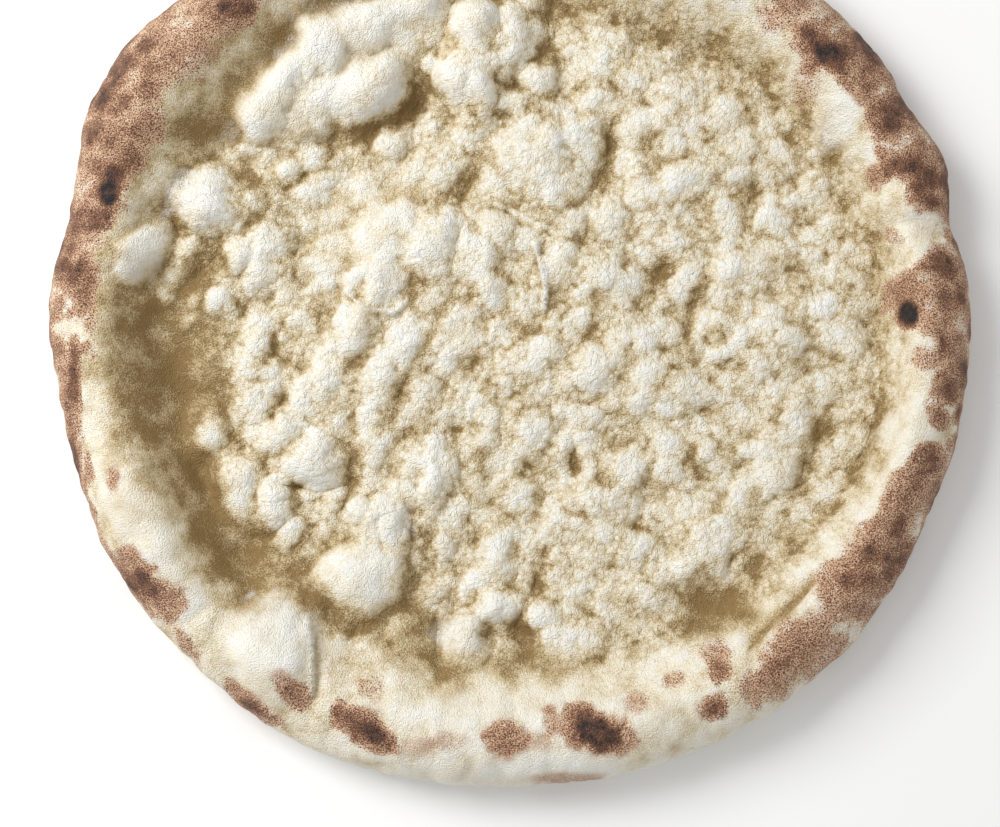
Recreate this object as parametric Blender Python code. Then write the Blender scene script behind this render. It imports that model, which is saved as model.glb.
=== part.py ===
"""A round, hand-stretched pizza base, par-baked: a thin blistered bed inside a puffed crust.

It is one solid of dough. A grid is laid out as a disc, bent over the crust's cross-section, raised
by the blisters and small lumps of the bed, closed by a flat underside, and thinned by Decimate.

Units are metres. The origin is the middle of the underside, +Z is up and +Y points away from the
side of the crust that faces the cook. Directions are in degrees, anticlockwise from +X.
"""

import itertools
import math
from collections import namedtuple

import bmesh
import bpy
import numpy as np

# Driving dimensions.
SIDE_RADIUS = 0.1450  # the middle to the crust's widest line
CROWN_RADIUS = 0.1300  # the middle to the top of the crust
FOOT_RADIUS = 0.1100  # the middle to where the crust's inner slope meets the bed
UNDERSIDE_RADIUS = 0.1350  # the flat that rests on the table
CROWN_HEIGHT = 0.0215
SIDE_HEIGHT = 0.0095  # of the widest line
BED_THICKNESS = 0.0060

# How the grid is shared out from the middle (0) to the edge of the underside (1).
FOOT_SHARE = 0.72
CROWN_SHARE = 0.85
SIDE_SHARE = 0.95
GRID_CELLS = 240
FACE_BUDGET = 11000  # triangles left after Decimate

SMOOTHING_ROUNDS = 4
INFLATION = 0.0005  # outward swelling of the blistered skin, which rounds its edges
NOISE_TABLE = 32  # cells before the noise repeats

DOUGH_COLOUR = (0.66, 0.56, 0.40, 1.0)
DOUGH_ROUGHNESS = 0.75

# A stretch of crust that puffed more or less than the rest. foot moves the inner slope's lower end.
Swell = namedtuple("Swell", "direction spread out up foot")
SWELLS = (
    Swell(direction=2, spread=20, out=0.0006, up=0.0012, foot=0.0095),
    Swell(direction=12, spread=4, out=-0.0026, up=-0.0014, foot=0.0030),
    Swell(direction=22, spread=6, out=0.0028, up=0.0, foot=0.0),
    Swell(direction=36, spread=20, out=-0.0002, up=0.0004, foot=0.0080),
    Swell(direction=75, spread=22, out=0.0022, up=0.0010, foot=0.0030),
    Swell(direction=115, spread=18, out=0.0024, up=0.0014, foot=-0.0010),
    Swell(direction=146, spread=14, out=0.0056, up=0.0022, foot=-0.0040),
    Swell(direction=165, spread=6, out=-0.0034, up=-0.0006, foot=0.0),
    Swell(direction=188, spread=46, out=-0.0012, up=0.0, foot=0.0),
    Swell(direction=193, spread=15, out=-0.0026, up=-0.0012, foot=-0.0050),
    Swell(direction=232, spread=20, out=-0.0002, up=-0.0016, foot=-0.0080),
    Swell(direction=272, spread=18, out=-0.0016, up=0.0006, foot=-0.0030),
    Swell(direction=308, spread=17, out=0.0010, up=0.0008, foot=0.0030),
    Swell(direction=342, spread=14, out=-0.0006, up=0.0016, foot=0.0080),
)

# A raised bubble of dough. turn is the direction of its long axis; rise is negative for a hollow.
Blister = namedtuple("Blister", "x y long wide turn rise")
TALL_BLISTERS = (
    # The long double roll near the far left side.
    Blister(-0.0785, 0.0680, 0.0095, 0.0088, 0, 0.0105),
    Blister(-0.0670, 0.0800, 0.0215, 0.0098, 43, 0.0120),
    Blister(-0.0360, 0.0990, 0.0210, 0.0098, 22, 0.0130),
    Blister(-0.0455, 0.0800, 0.0175, 0.0108, 27, 0.0118),
    Blister(-0.0310, 0.0910, 0.0100, 0.0080, 60, 0.0110),
    # The stack of lobes beside it.
    Blister(-0.0085, 0.0965, 0.0120, 0.0100, 75, 0.0112),
    Blister(-0.0120, 0.0815, 0.0112, 0.0086, 165, 0.0104),
    Blister(0.0050, 0.0980, 0.0190, 0.0085, 65, 0.0072),
    Blister(0.0080, 0.0825, 0.0066, 0.0060, 0, 0.0046),
    # Round and long bubbles along the left slope.
    Blister(-0.0945, 0.0415, 0.0125, 0.0115, 60, 0.0085),
    Blister(-0.1090, 0.0225, 0.0135, 0.0105, 50, 0.0068),
    Blister(-0.1075, 0.0115, 0.0050, 0.0042, 60, 0.0030),
    Blister(-0.0935, 0.0100, 0.0050, 0.0045, 60, 0.0030),
    Blister(-0.0850, 0.0215, 0.0085, 0.0060, 70, 0.0040),
    Blister(-0.0840, 0.0095, 0.0055, 0.0045, 60, 0.0030),
    Blister(-0.0625, 0.0515, 0.0062, 0.0056, 0, 0.0036),
    Blister(-0.0385, 0.0615, 0.0048, 0.0045, 0, 0.0034),
    # Ridges and domes of the middle, most of them stretched one way.
    Blister(-0.0360, 0.0500, 0.0070, 0.0058, 20, 0.0048),
    Blister(-0.0240, 0.0520, 0.0075, 0.0050, 20, 0.0034),
    Blister(-0.0420, 0.0300, 0.0175, 0.0110, 55, 0.0072),
    Blister(-0.0555, 0.0190, 0.0130, 0.0072, 55, 0.0060),
    Blister(-0.0285, 0.0310, 0.0095, 0.0042, 65, 0.0066),
    Blister(-0.0215, 0.0310, 0.0120, 0.0066, 65, 0.0050),
    Blister(-0.0370, 0.0130, 0.0080, 0.0062, 60, 0.0052),
    Blister(-0.0035, 0.0305, 0.0070, 0.0050, 110, 0.0036),
    Blister(-0.0045, 0.0120, 0.0070, 0.0052, 60, 0.0032),
    Blister(0.0160, 0.0575, 0.0182, 0.0172, 30, 0.0058),
    Blister(-0.0745, 0.0050, 0.0095, 0.0056, 62, 0.0046),
    Blister(-0.0540, -0.0020, 0.0150, 0.0072, 58, 0.0052),
    Blister(-0.0590, -0.0180, 0.0140, 0.0066, 64, 0.0056),
    Blister(-0.0370, -0.0140, 0.0140, 0.0056, 60, 0.0046),
    Blister(-0.0470, -0.0270, 0.0110, 0.0062, 50, 0.0042),
    Blister(-0.0200, -0.0020, 0.0110, 0.0054, 58, 0.0036),
    Blister(0.0060, -0.0100, 0.0100, 0.0060, 50, 0.0030),
    Blister(-0.0280, -0.0470, 0.0108, 0.0092, 60, 0.0060),
    # The near left quarter.
    Blister(-0.0930, -0.0330, 0.0098, 0.0086, 90, 0.0046),
    Blister(-0.0690, -0.0370, 0.0095, 0.0080, 60, 0.0050),
    Blister(-0.0600, -0.0420, 0.0112, 0.0096, 150, 0.0072),
    Blister(-0.0800, -0.0580, 0.0108, 0.0092, 70, 0.0050),
    Blister(-0.0730, -0.0560, 0.0085, 0.0056, 100, 0.0066),
    Blister(-0.0385, -0.0640, 0.0100, 0.0082, 100, 0.0082),
    Blister(-0.0480, -0.0800, 0.0158, 0.0125, 10, 0.0092),
    Blister(-0.0310, -0.1010, 0.0135, 0.0108, 110, 0.0060),
    Blister(-0.0140, -0.0985, 0.0090, 0.0072, 90, 0.0062),
    Blister(-0.0030, -0.1050, 0.0110, 0.0085, 10, 0.0044),
    Blister(-0.0015, -0.0895, 0.0080, 0.0058, 0, 0.0052),
    Blister(0.0180, -0.1010, 0.0115, 0.0090, 10, 0.0034),
    # The right half, flatter.
    Blister(0.0270, -0.0555, 0.0066, 0.0062, 0, 0.0036),
    Blister(0.0375, -0.0440, 0.0048, 0.0045, 0, 0.0028),
    Blister(0.0520, -0.0430, 0.0058, 0.0052, 0, 0.0030),
    Blister(0.0670, -0.0020, 0.0095, 0.0088, 0, 0.0036),
    Blister(0.0460, -0.0080, 0.0062, 0.0056, 0, 0.0028),
    Blister(0.0780, -0.0450, 0.0095, 0.0086, 30, 0.0044),
    Blister(0.0720, 0.0680, 0.0075, 0.0065, 40, 0.0028),
    Blister(0.0440, 0.0640, 0.0085, 0.0075, 30, 0.0034),
    Blister(0.0320, 0.0330, 0.0060, 0.0056, 0, 0.0028),
    Blister(0.0600, -0.0760, 0.0150, 0.0085, 20, 0.0030),
)
# Broad, soft rises and hollows.
SOFT_FORMS = (
    Blister(0.0820, -0.0420, 0.0220, 0.0150, 70, 0.0040),
    Blister(-0.1080, -0.0640, 0.0300, 0.0150, 122, 0.0050),
    Blister(-0.0710, -0.1010, 0.0210, 0.0140, 78, 0.0055),
    Blister(-0.0450, -0.0100, 0.0600, 0.0300, 60, 0.0020),
    Blister(0.0660, -0.0905, 0.0170, 0.0110, 170, -0.0048),
    Blister(-0.0870, -0.0740, 0.0220, 0.0120, 122, -0.0034),
    Blister(-0.1020, -0.0180, 0.0280, 0.0110, 95, -0.0018),
    Blister(0.0080, -0.0970, 0.0070, 0.0060, 100, -0.0030),
    Blister(0.0360, 0.0580, 0.0150, 0.0048, 80, -0.0024),
    Blister(-0.0420, 0.0650, 0.0240, 0.0060, 30, -0.0020),
    Blister(-0.0290, -0.0220, 0.0160, 0.0036, 60, -0.0026),
    Blister(-0.0160, 0.0440, 0.0160, 0.0050, 55, -0.0024),
    Blister(0.0450, 0.0130, 0.0140, 0.0046, 70, -0.0022),
    Blister(0.0980, -0.0450, 0.0190, 0.0050, 66, -0.0030),
    Blister(-0.0220, -0.0760, 0.0150, 0.0060, 80, -0.0024),
)

# A bubble that burst: a raised ring round a sunken floor.
Crater = namedtuple("Crater", "x y long wide turn rise")
CRATERS = (
    Crater(-0.0455, 0.0125, 0.0080, 0.0068, 60, 0.0022),
    Crater(0.0225, -0.0430, 0.0082, 0.0050, 82, 0.0026),
    Crater(0.0670, -0.0020, 0.0070, 0.0062, 0, 0.0012),
    Crater(-0.0380, -0.0640, 0.0080, 0.0055, 100, 0.0024),
    Crater(-0.0765, -0.0080, 0.0085, 0.0042, 66, 0.0022),
    Crater(0.0775, -0.0450, 0.0085, 0.0076, 20, 0.0008),
)

# A fold or seam: a groove from one point to another.
Crease = namedtuple("Crease", "x1 y1 x2 y2 width depth")
CREASES = (
    Crease(-0.0600, -0.0930, -0.0570, -0.1190, 0.0016, 0.0045),
    Crease(-0.0970, -0.0470, -0.0900, -0.0640, 0.0018, 0.0036),
    Crease(-0.0900, -0.0640, -0.0790, -0.0850, 0.0018, 0.0024),
    Crease(-0.1220, -0.0500, -0.0990, -0.0480, 0.0016, 0.0020),
    Crease(0.0740, -0.1030, 0.0960, -0.0810, 0.0016, 0.0040),
    Crease(0.1210, 0.0310, 0.1440, 0.0250, 0.0024, 0.0030),
    Crease(0.1160, -0.0380, 0.1340, -0.0420, 0.0016, 0.0020),
    Crease(-0.0040, 0.0390, 0.0160, 0.0290, 0.0010, 0.0014),
    Crease(-0.0670, 0.0790, -0.0400, 0.0890, 0.0018, 0.0028),
    Crease(-0.0530, 0.1000, -0.0500, 0.0900, 0.0014, 0.0024),
    Crease(-0.0720, -0.0510, -0.0540, -0.0520, 0.0014, 0.0024),
)

# Layers of small lumps: distance apart, height, and the seed of their places.
Lumps = namedtuple("Lumps", "pitch rise seed")
BED_LUMPS = (
    Lumps(pitch=0.0130, rise=0.0026, seed=11),
    Lumps(pitch=0.0070, rise=0.0020, seed=12),
)
CRUST_LUMPS = Lumps(pitch=0.0085, rise=0.0007, seed=13)


def noise(points, pitch, seed):
    """A smooth random value from -1 to 1 at each point, in waves about one pitch across."""
    table = np.random.default_rng(seed).uniform(-1, 1, (NOISE_TABLE,) * 3)
    cell = np.floor(points / pitch).astype(int)
    part = points / pitch - cell
    part = part * part * (3 - 2 * part)
    total = np.zeros(len(points))
    for corner in itertools.product((0, 1), repeat=3):
        weight = np.prod(np.where(corner, part, 1 - part), axis=1)
        total += weight * table[tuple(((cell + corner) % NOISE_TABLE).T)]
    return total


def crowded_lumps(points, layer):
    """Heights from 0 to 1 of round lumps that crowd together, about one to each cell."""
    random = np.random.default_rng(layer.seed)
    places = random.random((NOISE_TABLE,) * 3 + (3,))
    sizes = random.uniform(0.45, 0.95, (NOISE_TABLE,) * 3)
    scaled = points / layer.pitch
    cell = np.floor(scaled).astype(int)
    height = np.zeros(len(points))
    for step in itertools.product((-1, 0, 1), repeat=3):
        key = tuple(((cell + step) % NOISE_TABLE).T)
        gap = scaled - (cell + step + places[key])
        share = np.sum(gap * gap, axis=1) / sizes[key] ** 2
        height = np.maximum(height, sizes[key] * np.sqrt(np.clip(1 - share, 0, 1)))
    return height


def ease(share):
    """0 to 1 with level ends, for any share: below 0 gives 0 and above 1 gives 1."""
    share = np.clip(share, 0, 1)
    return share * share * (3 - 2 * share)


def disc_layout(places):
    """Share of the radius and direction, in radians, of grid points that run from -1 to 1.

    Each square ring of the grid becomes a round one, so that all cells keep about one area.
    """
    a, b = places[:, 0], places[:, 1]
    sideways = np.abs(a) > np.abs(b)
    reach = np.where(sideways, a, b)
    other = np.where(sideways, b, a)
    ratio = np.divide(other, reach, out=np.zeros_like(reach), where=reach != 0)
    angle = np.where(sideways, ratio, 2 - ratio) * math.pi / 4
    return np.abs(reach), np.where(reach < 0, angle + math.pi, angle)


def swelling(direction, amount):
    """The sum over the swells of one of their amounts, in each direction given in radians."""
    total = np.zeros_like(direction)
    for swell in SWELLS:
        apart = direction - math.radians(swell.direction)
        apart = np.degrees(np.arctan2(np.sin(apart), np.cos(apart)))
        total += getattr(swell, amount) * np.exp(-((apart / swell.spread) ** 2))
    return total


def skin_of_the_turned_dough(share, direction):
    """Points on the dough before it blistered, from its middle over the crust to the table."""
    rim = np.column_stack((np.cos(direction), np.sin(direction), np.zeros_like(direction)))
    wobble = noise(rim * SIDE_RADIUS, 0.022, seed=1) + 0.5 * noise(rim * SIDE_RADIUS, 0.009, seed=2)
    side = SIDE_RADIUS + swelling(direction, "out") + 0.0011 * wobble
    crown = CROWN_RADIUS + 0.5 * swelling(direction, "out") - 0.0010 * wobble
    foot = FOOT_RADIUS + swelling(direction, "foot")
    top = CROWN_HEIGHT + swelling(direction, "up") + 0.0008 * noise(rim * SIDE_RADIUS, 0.030, seed=3)
    underside = UNDERSIDE_RADIUS + 0.5 * swelling(direction, "out")

    on_bed = share / FOOT_SHARE
    on_slope = (share - FOOT_SHARE) / (CROWN_SHARE - FOOT_SHARE)
    on_crown = (share - CROWN_SHARE) / (SIDE_SHARE - CROWN_SHARE) * math.pi / 2
    below = (share - SIDE_SHARE) / (1 - SIDE_SHARE) * math.pi / 2
    zones = (share <= FOOT_SHARE, share <= CROWN_SHARE, share <= SIDE_SHARE)
    radius = np.select(
        zones,
        (foot * on_bed, foot + (crown - foot) * on_slope, crown + (side - crown) * np.sin(on_crown)),
        side - (side - underside) * (1 - np.cos(below)),
    )
    height = np.select(
        zones,
        (
            np.full_like(share, BED_THICKNESS),
            BED_THICKNESS + (top - BED_THICKNESS) * ease(on_slope),
            SIDE_HEIGHT + (top - SIDE_HEIGHT) * np.cos(on_crown),
        ),
        SIDE_HEIGHT * (1 - np.sin(below)),
    )
    return np.column_stack((radius * rim[:, 0], radius * rim[:, 1], height))


def oval_share(points, oval):
    """Distance from an oval's middle as a share of the way to its edge."""
    turn = math.radians(oval.turn)
    x, y = points[:, 0] - oval.x, points[:, 1] - oval.y
    along = (x * math.cos(turn) + y * math.sin(turn)) / oval.long
    across = (y * math.cos(turn) - x * math.sin(turn)) / oval.wide
    return np.hypot(along, across)


def blister_heights(points):
    """How far the blisters, soft forms, craters and creases raise the skin at each point."""
    uneven = 0.0013 * np.column_stack([noise(points, 0.009, seed) for seed in (4, 5)])
    warped = points.copy()
    warped[:, :2] += uneven
    raised = np.zeros(len(points))
    for blister in TALL_BLISTERS:
        dome = np.clip(1 - oval_share(warped, blister) ** 2.4, 0, 1) ** 0.55
        raised = np.maximum(raised, blister.rise * dome)
    for form in SOFT_FORMS:
        raised += form.rise * ease(1.25 - oval_share(warped, form))
    for crater in CRATERS:
        share = oval_share(points, crater)
        ring = np.exp(-(((share - 1) / 0.22) ** 2))
        raised += crater.rise * (0.8 * ring - ease(1.3 - share))
    for crease in CREASES:
        raised -= crease.depth * np.exp(-((crease_distance(points, crease) / crease.width) ** 2))
    return raised


def crease_distance(points, crease):
    """Distance from each point to the crease's line, seen from above."""
    start = np.array((crease.x1, crease.y1))
    run = np.array((crease.x2, crease.y2)) - start
    along = np.clip((points[:, :2] - start) @ run / (run @ run), 0, 1)
    return np.linalg.norm(points[:, :2] - start - along[:, None] * run, axis=1)


def positions(mesh):
    found = np.empty(len(mesh.vertices) * 3, np.float32)
    mesh.vertices.foreach_get("co", found)
    return found.reshape(-1, 3).astype(float)


def normals(mesh):
    found = np.empty(len(mesh.vertices) * 3, np.float32)
    mesh.vertex_normals.foreach_get("vector", found)
    return found.reshape(-1, 3).astype(float)


def move_to(mesh, points):
    mesh.vertices.foreach_set("co", points.astype(np.float32).ravel())
    mesh.update()


def grid_mesh(name):
    """A square grid from -1 to 1, which the dough's skin is bent from."""
    shape = bmesh.new()
    bmesh.ops.create_grid(shape, x_segments=GRID_CELLS, y_segments=GRID_CELLS, size=1)
    mesh = bpy.data.meshes.new(name)
    shape.to_mesh(mesh)
    shape.free()
    return mesh


def soften(mesh, rounds):
    """Eases the skin, all but its edge on the table, so that steep blisters get rounded sides."""
    shape = bmesh.new()
    shape.from_mesh(mesh)
    free = [v for v in shape.verts if not v.is_boundary]
    for _ in range(rounds):
        bmesh.ops.smooth_vert(
            shape, verts=free, factor=0.5, use_axis_x=True, use_axis_y=True, use_axis_z=True
        )
    shape.to_mesh(mesh)
    shape.free()


def add_underside(mesh):
    """Closes the skin with one flat face on the table."""
    shape = bmesh.new()
    shape.from_mesh(mesh)
    bmesh.ops.contextual_create(shape, geom=[e for e in shape.edges if e.is_boundary])
    bmesh.ops.recalc_face_normals(shape, faces=shape.faces)
    shape.to_mesh(mesh)
    shape.free()


def shape_the_dough(mesh):
    share, direction = disc_layout(positions(mesh))
    skin = skin_of_the_turned_dough(share, direction)
    above = ease((SIDE_SHARE - share) / (SIDE_SHARE - CROWN_SHARE))
    skin[:, 2] += blister_heights(skin) * above
    on_bed = ease((CROWN_SHARE - share) / (CROWN_SHARE - FOOT_SHARE))
    skin[:, 2] += 0.0012 * noise(skin, 0.032, seed=6) * on_bed
    move_to(mesh, skin)
    soften(mesh, SMOOTHING_ROUNDS)

    skin = positions(mesh)
    swollen = INFLATION * on_bed
    for layer in BED_LUMPS:
        swollen += layer.rise * crowded_lumps(skin, layer) * on_bed
    off_table = ease((1 - share) / (1 - SIDE_SHARE))
    swollen += CRUST_LUMPS.rise * crowded_lumps(skin, CRUST_LUMPS) * (1 - on_bed) * off_table
    move_to(mesh, skin + normals(mesh) * swollen[:, None])
    soften(mesh, 1)


def set_on_the_table(mesh):
    """Centres the dough over the origin and lays the underside's points flat at height 0."""
    points = positions(mesh)
    points[:, :2] -= (points[:, :2].min(axis=0) + points[:, :2].max(axis=0)) / 2
    points[points[:, 2] < 0.00025, 2] = 0
    move_to(mesh, points)


def dough_material():
    material = bpy.data.materials.new("par_baked_dough")
    material.use_nodes = True
    shader = material.node_tree.nodes["Principled BSDF"]
    shader.inputs["Base Color"].default_value = DOUGH_COLOUR
    shader.inputs["Roughness"].default_value = DOUGH_ROUGHNESS
    shader.inputs["Metallic"].default_value = 0.0
    return material


def thinned(rough, name):
    """A mesh of the object with its faces brought down to the budget."""
    decimate = rough.modifiers.new("thin", "DECIMATE")
    decimate.ratio = FACE_BUDGET / (2 * len(rough.data.polygons))
    graph = bpy.context.evaluated_depsgraph_get()
    mesh = bpy.data.meshes.new_from_object(rough.evaluated_get(graph))
    mesh.name = name
    return mesh


def build_pizza_base():
    skin = grid_mesh("skin")
    shape_the_dough(skin)
    add_underside(skin)
    collection = bpy.data.collections.new("pizza_base")
    bpy.context.scene.collection.children.link(collection)
    rough = bpy.data.objects.new("rough_dough", skin)
    collection.objects.link(rough)
    mesh = thinned(rough, "pizza_base")
    bpy.data.objects.remove(rough)
    bpy.data.meshes.remove(skin)

    set_on_the_table(mesh)
    mesh.materials.append(dough_material())
    mesh.shade_smooth()
    mesh.set_sharp_from_angle(angle=math.radians(60))
    collection.objects.link(bpy.data.objects.new("pizza_base", mesh))


for leftover in list(bpy.data.objects):
    bpy.data.objects.remove(leftover)
build_pizza_base()
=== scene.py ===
"""Dresses a packed pizza base: blistered, par-baked dough with a browned crust, on a plain pale stage.

The dough starts as a square grid. It is laid out as a disc, bent over the crust's cross-section,
raised by the blisters, roughened by crowds of small bubbles, and closed by its flat underside.
Each point then gets its share of toasting, char, flour and crevice, which the material colours. The flour
share also holds painted highlights on lit bubbles, and the crevice share holds painted shade in hollows and
on the slope.
"""

import functools
import itertools
import math
from collections import namedtuple

import bmesh
import bpy
import numpy as np
from bpy.props import FloatProperty, FloatVectorProperty, IntProperty, PointerProperty
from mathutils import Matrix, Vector


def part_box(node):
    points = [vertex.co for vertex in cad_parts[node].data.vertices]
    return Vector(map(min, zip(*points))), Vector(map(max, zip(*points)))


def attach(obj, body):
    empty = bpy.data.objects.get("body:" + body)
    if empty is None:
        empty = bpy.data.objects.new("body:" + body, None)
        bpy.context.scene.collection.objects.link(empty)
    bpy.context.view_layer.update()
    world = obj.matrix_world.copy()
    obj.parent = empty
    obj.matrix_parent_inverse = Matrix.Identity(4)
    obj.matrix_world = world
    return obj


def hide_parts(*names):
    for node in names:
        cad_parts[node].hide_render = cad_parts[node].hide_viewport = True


bl_info = {
    "name": "Par-baked pizza base",
    "version": (1, 0, 0),
    "blender": (4, 5, 0),
    "location": "3D View > Sidebar > Pizza base",
    "description": "Dresses a pizza base as blistered dough with a browned crust",
    "category": "Object",
}

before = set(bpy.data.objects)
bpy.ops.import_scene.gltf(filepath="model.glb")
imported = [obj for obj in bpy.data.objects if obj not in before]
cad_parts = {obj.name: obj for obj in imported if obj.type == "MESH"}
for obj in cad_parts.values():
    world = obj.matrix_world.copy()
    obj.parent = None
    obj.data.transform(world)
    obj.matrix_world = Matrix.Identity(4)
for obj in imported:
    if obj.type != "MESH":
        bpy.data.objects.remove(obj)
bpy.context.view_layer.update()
NODE = "pizza_base"
MM = 0.001
NOISE_TABLE = 32  # cells before the noise repeats
# The fields below that are lengths.
LENGTHS = set("x y x1 y1 x2 y2 long wide rise width depth out up foot".split())


def in_millimetres(kind, *rows):
    """Named tuples of a kind, in metres, from rows of values whose lengths are in millimetres."""
    return tuple(
        kind(*(value / 1000 if field in LENGTHS else value for field, value in zip(kind._fields, row)))
        for row in rows
    )


# A stretch of crust that puffed more or less than the rest. foot moves the inner slope's lower end.
# Directions are in degrees, anticlockwise from +X.
Swell = namedtuple("Swell", "direction spread out up foot")
SWELLS = in_millimetres(
    Swell,
    (2, 20, 0.6, 1.2, 6),
    (12, 4, -2.6, -1.4, 3),
    (22, 6, 2.8, 0, 0),
    (36, 20, -0.2, 0.4, 3),
    (75, 22, 2.2, 1, -6),
    (115, 18, 2.4, 1.4, -1),
    (146, 14, 5.6, 2.2, -4),
    (165, 6, -3.4, -0.6, 0),
    (188, 46, -1.2, 0, 0),
    (193, 15, -2.6, -1.2, -5),
    (232, 20, -0.2, -1.6, -12),
    (272, 18, -1.6, 0.6, -12),
    (308, 17, 1, 0.8, -2),
    (342, 14, -0.6, 1.6, 6),
)

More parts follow.
